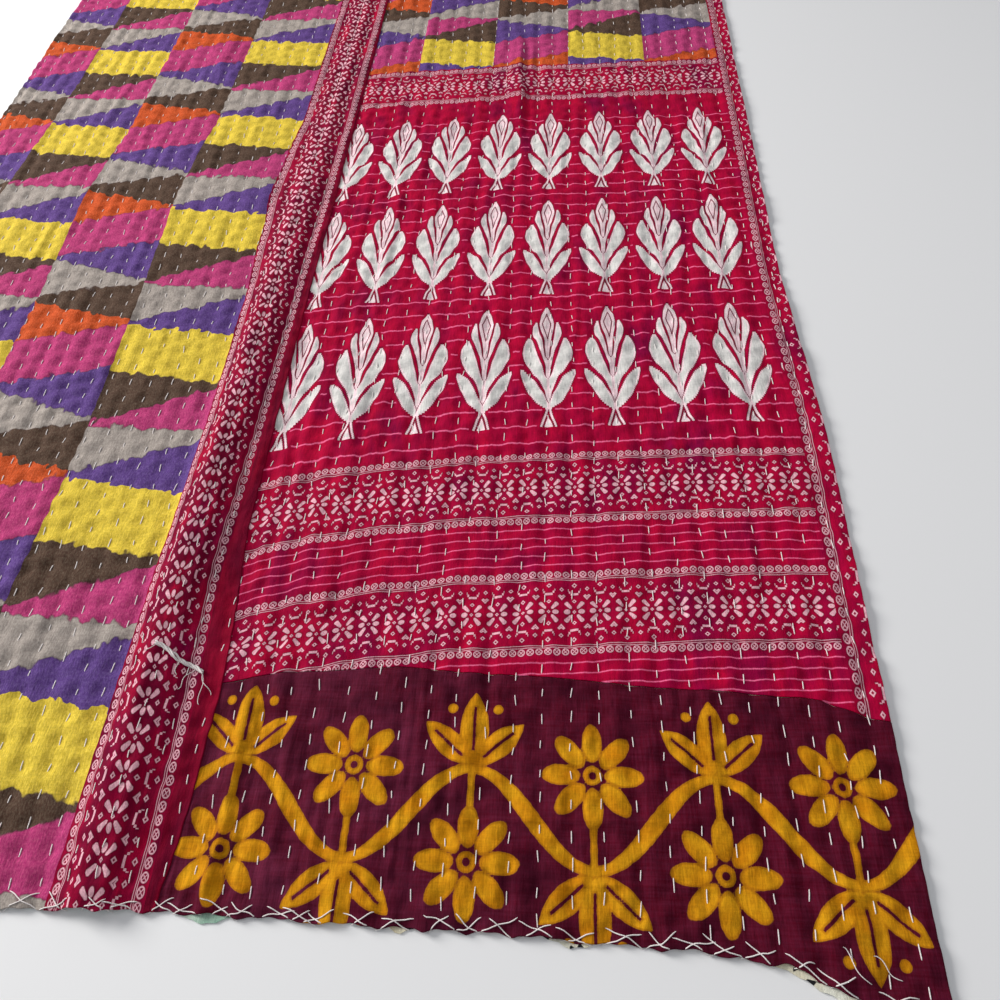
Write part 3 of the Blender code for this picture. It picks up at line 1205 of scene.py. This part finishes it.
def striped_cotton(name):
    """Crimson cotton with close thin pink lines across it."""
    material, tree, cloth, place = start_cloth(name)
    _, lengthwise = split(tree, place)
    y = wobbly(tree, cloth, lengthwise * 1000.0, 26.0, 1.4)
    waver = grain(tree, stretched(tree, cloth, 70.0, 20.0), 1.0, 2.0).scaled(3.0, -1.5)
    line = abs((y + waver + 630.5).repeated(12.5)) - 0.75
    cover = ink(tree, cloth, line.below(0.0, 0.8))
    colour = dyed(tree, crimson_ground(tree, cloth), STRIPE_PINK, cover)
    return finish_cloth(material, cloth, colour, 0.7)


SPRIGS, STRIPES = 300, 400
RIGHT_PRINT_ROWS = [
    # upper end on the flat cloth, which print
    (-0.8005, STRIPES),
    (-0.6870, BORDER + 3),
    (-0.6240, STRIPES),
    (-0.5130, BORDER + 2),
    (0.3360, SPRIGS),
    (FIELD_FOOT, BORDER + 1),
]
BAND_PLACES = {1: (0.4005, 1.16), 2: (-0.569, 1.0), 3: (-0.7435, 1.0)}
SIDE_STRETCH = 1.55
TURNED_WIDTH = 0.155
TURNED_RIGHT = 0.732
TURNED_FEET = (0.470, 0.420)
TURNED_SLANTS = (0.028, 0.045)
RIGHT_CUTS = [180, 372]
END_SEAM_GAP = 0.0002


def sag(x, y):
    """How far the print has sunk towards the foot at each place."""
    return along(SAG, x) * along(SAG_STRENGTH, y) + 0.006 * hump(x - 0.32, 0.05) * hump(
        y - 0.38, 0.3)


def place_right(columns, side_columns, low_rows, high_rows):
    """The right panel's points on the floor plan, and its print's own places."""
    u = np.concatenate([columns, side_columns[1:] + columns[-1]])[None, :]
    y = np.zeros((len(low_rows) + len(high_rows) - 1, u.shape[1]))
    x = np.repeat(u, len(y), axis=0)
    u = x.copy()
    for _ in range(3):
        seam = along(END_SEAM, x[0]) + END_SEAM_GAP + FOLD_REACH
        v_foot = seam - sag(x[0], seam)
        head = head_edge(x[-1])
        v_head = head - sag(x[-1], head)
        low = v_foot + (FIELD_FOOT - v_foot) * low_rows[:, None]
        high = FIELD_FOOT + (v_head - FIELD_FOOT) * high_rows[1:, None]
        v = np.concatenate([low, high])
        y = v + sag(x, v)
        line = right_edge(y) - BORDER_SHOWS
        span = (u - RIGHT_START) / (SIDE_BORDER - RIGHT_START)
        x = np.where(u < SIDE_BORDER, RIGHT_START + (line - RIGHT_START) * span,
                     line + u - SIDE_BORDER)
    return x, y, u, v


def read_right_print(cell, u, v):
    """Where each corner lies in its own part of the print."""
    kind, number = (cell // 100)[:, None], (cell % 100)[:, None]
    field = kind < 2
    right_side = TURNED_RIGHT - TURNED_WIDTH * number
    part = (right_side - u) / TURNED_WIDTH
    slant = np.take(TURNED_SLANTS, np.clip(kind, 0, 1))
    start = np.take(TURNED_FEET, np.clip(kind, 0, 1))
    up = (v - start - slant * part) / WEDGE_REPEAT
    print_u, print_v = np.where(field, part, u), np.where(field, up, v)
    side = (kind == 2) & (number == 0)
    print_u = np.where(side, u - SIDE_BORDER - CHAIN_SIDE - BORDER_WIDTH / 2, print_u)
    print_v = np.where(side, v / SIDE_STRETCH, print_v)
    for band, (middle, stretch) in BAND_PLACES.items():
        here = (kind == 2) & (number == band)
        print_u = np.where(here, (v - middle) / stretch, print_u)
        print_v = np.where(here, u, print_v)
    return print_u, print_v


right_columns = spread((RIGHT_START, 0.112, 33), (0.112, 0.267, 44), (0.267, 0.422, 44),
                       (0.422, 0.577, 44), (0.577, SIDE_BORDER, 42))
side_columns = spread((0.0, BORDER_SHOWS - FOLD_REACH, 10))
low_rows, high_rows = spread((0.0, 1.0, 372)), spread((0.0, 1.0, 190))
x, y, u, v = place_right(right_columns, side_columns, low_rows, high_rows)
right_points = np.stack([x, y, top_height(x, y)], axis=-1)
cell_u, cell_v = (u[:-1, :-1] + u[1:, 1:]) / 2.0, (v[:-1, :-1] + v[1:, 1:]) / 2.0
number = np.clip(np.floor((TURNED_RIGHT - cell_u) / TURNED_WIDTH), 0, 9).astype(int)
region = np.where(number % 2 == 0, FIELD_TWO, FIELD_ONE) + number
for upper_end, print_code in reversed(RIGHT_PRINT_ROWS):
    region[cell_v < upper_end] = print_code
region[cell_u > SIDE_BORDER] = BORDER

sprig_print = sprig_cotton("sprig_cotton")
striped_print = striped_cotton("striped_cotton")
right_sections = lay_panel(
    ["right_panel_foot", "right_panel_middle", "right_panel_head"], RIGHT_CUTS, right_points,
    u, v, region, read_right_print,
    [wedge_one, wedge_two, border_print, sprig_print, striped_print],
    ["foot", "head", "right"])
for section, length in zip(right_sections, (0.66, 0.685, 0.705)):
    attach(section, "root")
    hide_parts("right_panel")

# ---------------------------------------------------------------------------------------------
# End panel: a different cotton, dark maroon printed in mustard, joined to the foot of the right
# panel by a turned seam. The print is a plain trailing vine: a stem that waves evenly across,
# with a rosette hanging in each bend and a tuft of three leaves outside it.
# ---------------------------------------------------------------------------------------------
MAROON = srgb(82, 3, 26)
MAROON_HAZE = srgb(102, 34, 60)
MUSTARD = srgb(196, 124, 10)
MUSTARD_LIGHT = srgb(214, 152, 22)

VINE_FOOT = -0.979         # the stem's middle line at the panel's left side
VINE_SLOPE = -0.012        # the cloth is cut a little off its grain
VINE_WAVE = 0.252
VINE_RISE = 0.046
STEM_HALF = 0.0068
STEM_SWELL = 0.0018
TUFT_LEAVES = [
    # tilt from upright in degrees, length, width
    (0.0, 0.078, 0.031),
    (50.0, 0.070, 0.027),
    (-50.0, 0.070, 0.027),
]
VEIN_HALF = 0.0016
ROSETTE_SIZE = 0.053
ROSETTE_DROP = 0.090       # from the bend's crest to the rosette's middle
PETALS = 8
PETAL_MIDDLE, PETAL_LONG, PETAL_WIDE = 0.62, 0.38, 0.20      # shares of the rosette
HEART_RING, HEART_LINE = 0.13, 0.055
MAROON_DEEP = srgb(48, 2, 22)
MUSTARD_RIM = srgb(168, 104, 12)
STALK_HALF = 0.0036
STALK_LONG = 0.040
DOT_ASIDE = 0.025
DOT_RISE = 0.063
DOT_SIZE = 0.0056


def almond_leaf(x, y, tilt, length, width):
    """How far outside a pointed leaf each place is. It starts at 0, 0 and has a dark vein."""
    turn = math.radians(tilt)
    way = x * math.sin(turn) + y * math.cos(turn) - length / 2.0
    aside = abs(x * math.cos(turn) - y * math.sin(turn))
    side_round = (length ** 2 + width ** 2) / (4.0 * width)
    leaf = np.hypot(way, aside + side_round - width / 2.0) - side_round
    vein = np.minimum(VEIN_HALF - aside, length * 0.3 - abs(way))
    return np.maximum(leaf, vein)


def rosette(x, y):
    """How far outside an even-petalled flower each place is. Its heart is a small ring."""
    away = np.hypot(x, y)
    sector = 2.0 * math.pi / PETALS
    turn = (np.arctan2(y, x) + sector / 2.0) % sector - sector / 2.0
    out = (away * np.cos(turn) / ROSETTE_SIZE - PETAL_MIDDLE) / PETAL_LONG
    aside = away * np.sin(turn) / ROSETTE_SIZE / PETAL_WIDE
    petal = (np.hypot(out, aside) - 1.0) * PETAL_WIDE * ROSETTE_SIZE
    heart = abs(away - HEART_RING * ROSETTE_SIZE) - HEART_LINE * ROSETTE_SIZE
    return np.minimum(petal, heart)


def outside_vine(x, y):
    """How far outside the vine's nearest part each place is."""
    y = y - VINE_FOOT - VINE_SLOPE * x
    swing = 2.0 * math.pi * x / VINE_WAVE
    steep = VINE_RISE * 2.0 * math.pi / VINE_WAVE * np.cos(swing)
    stem = abs(y - VINE_RISE * np.sin(swing)) / np.hypot(1.0, steep)
    found = stem - STEM_HALF - STEM_SWELL * np.cos(2.0 * swing)
    bend = np.floor(x / (VINE_WAVE / 2.0))
    a = x - (bend + 0.5) * VINE_WAVE / 2.0
    b = y * (1.0 - 2.0 * (bend % 2.0)) - VINE_RISE
    for tilt, length, width in TUFT_LEAVES:
        found = np.minimum(found, almond_leaf(a, b - 0.003, tilt, length, width))
    found = np.minimum(found, rosette(a, b + ROSETTE_DROP))
    stalk = np.maximum(abs(a) - STALK_HALF, abs(b + STALK_LONG / 2.0) - STALK_LONG / 2.0)
    dot = np.hypot(abs(a) - DOT_ASIDE, b - DOT_RISE) - DOT_SIZE
    return np.minimum(found, np.minimum(stalk, dot))


def vine_cotton(name):
    """Maroon cotton whose mustard vine follows each corner's distance from its parts."""
    material, tree, cloth, _ = start_cloth(name)
    node = tree.nodes.new("ShaderNodeAttribute")
    node.attribute_name = "vine"
    outside = Reading(tree, node.outputs["Fac"])
    outside = outside + grain(tree, cloth, 120.0, 3.0).scaled(0.0022, -0.0011)
    across, _ = split(tree, cloth)
    haze = grain(tree, cloth, 11.0, 3.0).above(0.5, 0.3) * across.below(0.30, 0.3)
    streak = grain(tree, stretched(tree, cloth, 420.0, 26.0), 1.0, 2.0)
    streak = streak + grain(tree, stretched(tree, cloth, 26.0, 420.0), 1.0, 2.0)
    ground = dyed(tree, MAROON, MAROON_HAZE, haze * 0.6 + streak.above(1.0, 0.5) * 0.42)
    patches = grain(tree, cloth, 17.0, 2.0).above(0.58, 0.2)
    ground = dyed(tree, ground, MAROON_DEEP, patches * 0.6)
    gold = dyed(tree, MUSTARD, MUSTARD_LIGHT, grain(tree, cloth, 30.0, 3.0).above(0.5, 0.3))
    gold = dyed(tree, gold, MUSTARD_RIM, outside.above(-0.0016, 0.0012) * 0.7)
    colour = dyed(tree, ground, gold, outside.below(0.0, 0.0007))
    return finish_cloth(material, cloth, colour, 0.95)


end_columns = spread((0.0, 1.0, 378))
end_rows = spread((0.0, 1.0, 122))
part = end_rows[:, None]
x = np.repeat(end_columns[None, :], len(end_rows), axis=0)
y = np.zeros_like(x)
for _ in range(3):
    plan_x = RIGHT_START + (right_edge(y) - FOLD_REACH - RIGHT_START) * end_columns[None, :]
    foot = foot_edge(plan_x) + scalloped(plan_x)
    head = along(END_SEAM, plan_x) - END_SEAM_GAP - FOLD_REACH
    y = foot + (head - foot) * part
x = plan_x
end_points = np.stack([x, y, top_height(x, y)], axis=-1)
end_region = np.zeros((x.shape[0] - 1, x.shape[1] - 1), int)
end_print = vine_cotton("vine_cotton")
end_panel = lay_panel(["end_panel_cloth"], [], end_points, x, y, end_region,
                      lambda cell, u, v: (u, v), [end_print], ["foot", "head", "right"])[0]
spots = np.empty(len(end_panel.data.vertices) * 3)
end_panel.data.vertices.foreach_get("co", spots)
outside = outside_vine(spots[0::3], spots[1::3])
layer = end_panel.data.attributes.new("vine", "FLOAT", "POINT")
layer.data.foreach_set("value", outside)
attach(end_panel, "root")
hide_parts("end_panel")

# ---------------------------------------------------------------------------------------------
# Quilting: rows of running stitches in thick off-white cotton from foot to head through all
# the layers, a hand's two fingers apart. Each stitch shows on top, dives and comes up again.
# ---------------------------------------------------------------------------------------------
THREAD = 0.00064
STITCH_SPOTS = 6
THREAD_SIDES = 5


def cotton_thread():
    """Off-white cotton thread of two twisted plies."""
    material, tree, cloth, _ = start_cloth("cotton_thread")
    shader = tree.nodes["Principled BSDF"]
    around, lengthwise = split(tree, cloth)
    twist = (around + lengthwise * 420.0).work("MULTIPLY", 2.0 * math.pi).work("SINE")
    fuzz = grain(tree, cloth, 900.0, 2.0)
    tint = dyed(tree, srgb(246, 240, 236), srgb(206, 196, 196), fuzz.above(0.56, 0.4))
    tree.links.new(tint, shader.inputs["Base Color"])
    bump = tree.nodes.new("ShaderNodeBump")
    bump.inputs["Strength"].default_value = 0.6
    bump.inputs["Distance"].default_value = 0.0002
    connect(tree, bump.inputs["Height"], twist.scaled(0.5, 0.5))
    tree.links.new(bump.outputs[0], shader.inputs["Normal"])
    shader.inputs["Roughness"].default_value = 0.8
    return material


thread_cotton = cotton_thread()


def thread_object(name, paths, thickness):
    """Threads as tubes along paths of points, with drawn-in ends, joined in one mesh."""
    paths = np.asarray(paths)
    count, spots = paths.shape[:2]
    run = np.gradient(paths, axis=1)
    run /= np.maximum(np.linalg.norm(run, axis=-1, keepdims=True), 1e-9)
    aside = np.cross(run, np.array((0.0, 0.0, 1.0)))
    aside /= np.maximum(np.linalg.norm(aside, axis=-1, keepdims=True), 1e-9)
    up = np.cross(aside, run)
    turn = 2.0 * np.pi * np.arange(THREAD_SIDES) / THREAD_SIDES
    taper = np.ones(spots)
    taper[[0, -1]] = 0.55
    size = thickness * taper[None, :, None, None]
    ring = (aside[:, :, None, :] * np.cos(turn)[None, None, :, None]
            + up[:, :, None, :] * np.sin(turn)[None, None, :, None]) * size
    points = (paths[:, :, None, :] + ring).reshape(-1, 3)
    index = np.arange(count * spots * THREAD_SIDES).reshape(count, spots, THREAD_SIDES)
    beside = np.roll(index, -1, axis=2)
    quads = np.stack([index[:, :-1], beside[:, :-1], beside[:, 1:], index[:, 1:]],
                     axis=-1).reshape(-1, 4)
    lengthwise = np.concatenate([np.zeros((count, 1)), np.cumsum(
        np.linalg.norm(np.diff(paths, axis=1), axis=-1), axis=1)], axis=1)
    side_part = np.broadcast_to(np.arange(THREAD_SIDES) / THREAD_SIDES, index.shape)
    place_u = side_part.ravel()[quads]
    place_v = np.repeat(lengthwise[:, :, None], THREAD_SIDES, axis=2).ravel()[quads]
    place = np.stack([place_u, place_v], axis=-1)
    return sheet_object(name, points, quads, [thread_cotton], np.zeros(len(quads)), place,
                        place, None)


def surface(x, y):
    """The height of the cloth that a thread lies on."""
    lapped = x < along(LAP_EDGE, y)
    return top_height(x, y) + np.where(lapped, climb(x), 0.0)


def stitch_rows(first_row, last_row):
    """Every stitch of some rows as a short path of points that dips into the cloth."""
    paths = []
    sizes = np.random.default_rng(100 + first_row)
    for row in range(first_row, last_row):
        pitch, phase = row_pitch[row], row_phase[row]
        turns = np.arange(math.ceil(FOOT_Y / pitch + phase) - 2, int(HEAD_Y / pitch) + 2)
        start = (turns - phase) * pitch
        length = pitch * STITCH_SHARE * (0.72 + 0.5 * sizes.random(len(start)))
        start = start + 0.004 * (sizes.random(len(start)) - 0.5)
        part = np.linspace(0.0, 1.0, STITCH_SPOTS)
        y = start[:, None] + length[:, None] * part
        plain_x = -HALF_WIDTH + (row + 0.5) * STITCH_ROW_GAP + row_shift[row]
        x = plain_x + wander(np.full_like(y, plain_x), y)
        lean = 0.0026 * (sizes.random((len(start), 2)) - 0.5)
        x = x + lean[:, :1] + (lean[:, 1:] - lean[:, :1]) * part
        drop = np.array((-0.0011, 0.0002, 0.0005, 0.0005, 0.0002, -0.0011))
        path = np.stack([x, y, surface(x, y) + drop], axis=-1)
        inside = y[:, 0] > foot_edge(x[:, 0]) + 0.006
        inside &= y[:, -1] < head_edge(x[:, -1]) - 0.006
        inside &= (x.min(axis=1) > left_edge(y[:, 0]) + 0.004)
        inside &= (x.max(axis=1) < right_edge(y[:, 0]) - 0.004)
        inside &= sizes.random(len(start)) > 0.035
        paths.append(path[inside])
    return np.concatenate(paths)


for stitch_name, first_row, last_row in (("stitches_left", 0, 24), ("stitches_right", 24, 48)):
    stitches = thread_object(stitch_name, stitch_rows(first_row, last_row), THREAD)
    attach(stitches, "root")

# ---------------------------------------------------------------------------------------------
# Foot edge: the layers are closed by hand with long crossed stitches of the same thread that
# go over the edge, uneven in size, and draw it in between them.
# ---------------------------------------------------------------------------------------------
CROSS_GAP = 0.0330
CROSS_SPOTS = 9
EDGE_THREAD = 0.00062


def edge_line(x):
    """Where the foot edge of the top cloths ends."""
    return foot_edge(x) + scalloped(x)


def crossed_stitches():
    """Pairs of slanting stitches that cross each other over the edge, as paths of points."""
    paths = []
    sizes = np.random.default_rng(42)
    middle = -0.735
    while middle < 0.738:
        for lean in (-1.0, 1.0):
            wide = 0.0135 * (0.6 + 0.9 * sizes.random())
            tall = 0.0115 * (0.6 + 0.8 * sizes.random())
            shift = 0.010 * (sizes.random() - 0.5)
            part = np.linspace(0.0, 1.0, CROSS_SPOTS)
            x = middle + shift + lean * wide * (1.0 - 2.0 * part)
            x = np.clip(x, left_edge(FOOT_Y) + 0.004, right_edge(FOOT_Y) - 0.004)
            edge = edge_line(x)
            y = edge + tall - (tall + 0.0022) * part
            y = y + 0.0008 * np.sin(part * 5.0 + 6.0 * sizes.random())
            over = surface(x, np.maximum(y, edge + 0.0005)) + 0.0007
            past = np.clip((edge + 0.0003 - y) / 0.0025, 0.0, 1.0)
            z = over * (1.0 - past) + 0.0009 * past
            z[0] -= 0.0014
            paths.append(np.stack([x, y, z], axis=-1))
        middle += CROSS_GAP * (0.5 + 0.9 * sizes.random())
    return paths


def slack_thread(start, end, sway, waves, seed):
    """A thread end lying loose on the cloth from one place to another."""
    part = np.linspace(0.0, 1.0, CROSS_SPOTS * 2)
    start, end = np.array(start), np.array(end)
    run = end - start
    aside = np.array((-run[1], run[0])) / np.hypot(*run)
    bow = sway * np.sin(np.pi * waves * part + seed) * np.sin(np.pi * part) ** 0.5
    x = start[0] + run[0] * part + aside[0] * bow
    y = start[1] + run[1] * part + aside[1] * bow
    z = surface(x, y) + 0.0008 + 0.0012 * np.sin(np.pi * part)
    return np.stack([x, y, z], axis=-1)


foot_stitches = thread_object("foot_edge_stitches", crossed_stitches(), EDGE_THREAD)
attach(foot_stitches, "root")

# ---------------------------------------------------------------------------------------------
# Mend: near the foot a few thick strands are knotted across the border where the strip meets
# it, and single thread ends hang loose there and higher up beside the ridge.
# ---------------------------------------------------------------------------------------------
MEND_START, MEND_END = (-0.060, -0.812), (-0.002, -0.842)
MEND_THICKNESS = 0.0013
FINE_THREAD = 0.00045

mend_part = np.linspace(0.0, 1.0, 40)
mend_strands = []
for strand in range(3):
    angle = mend_part * 15.0 + strand * 2.1
    mend_x = MEND_START[0] + (MEND_END[0] - MEND_START[0]) * mend_part
    mend_y = MEND_START[1] + (MEND_END[1] - MEND_START[1]) * mend_part
    bulge = 0.0016 + 0.0012 * hump(mend_part - 0.42, 0.12)
    mend_y = mend_y + bulge * np.cos(angle) + 0.0015 * np.sin(mend_part * 9.0)
    mend_z = surface(mend_x, mend_y) + 0.0016 + bulge * (1.0 + np.sin(angle)) * 0.6
    mend_strands.append(np.stack([mend_x, mend_y, mend_z], axis=-1))
mend = thread_object("mend_strands", mend_strands, MEND_THICKNESS)
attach(mend, "root")

LOOSE_ENDS = [
    # start, end, sway, waves, turn
    ((-0.003, -0.842), (0.002, -0.878), 0.003, 1.4, 0.4),
    ((-0.006, -0.838), (0.012, -0.866), 0.002, 2.0, 1.9),
    ((-0.012, -0.836), (-0.026, -0.862), 0.003, 1.6, 2.6),
    ((-0.058, -0.812), (-0.070, -0.822), 0.002, 1.0, 0.0),
    ((-0.034, -0.828), (-0.030, -0.846), 0.002, 1.5, 1.0),
    ((0.032, -0.165), (0.050, -0.140), 0.004, 1.8, 0.5),
    ((0.036, -0.150), (0.026, -0.128), 0.003, 1.2, 1.7),
    ((0.020, 0.312), (0.036, 0.330), 0.004, 1.7, 0.2),
    ((0.690, -1.090), (0.712, -1.108), 0.003, 1.5, 1.1),
    ((0.664, -1.084), (0.684, -1.112), 0.004, 1.2, 2.1),
]
loose_ends = thread_object("loose_ends", [slack_thread(*row) for row in LOOSE_ENDS], FINE_THREAD)
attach(loose_ends, "root")
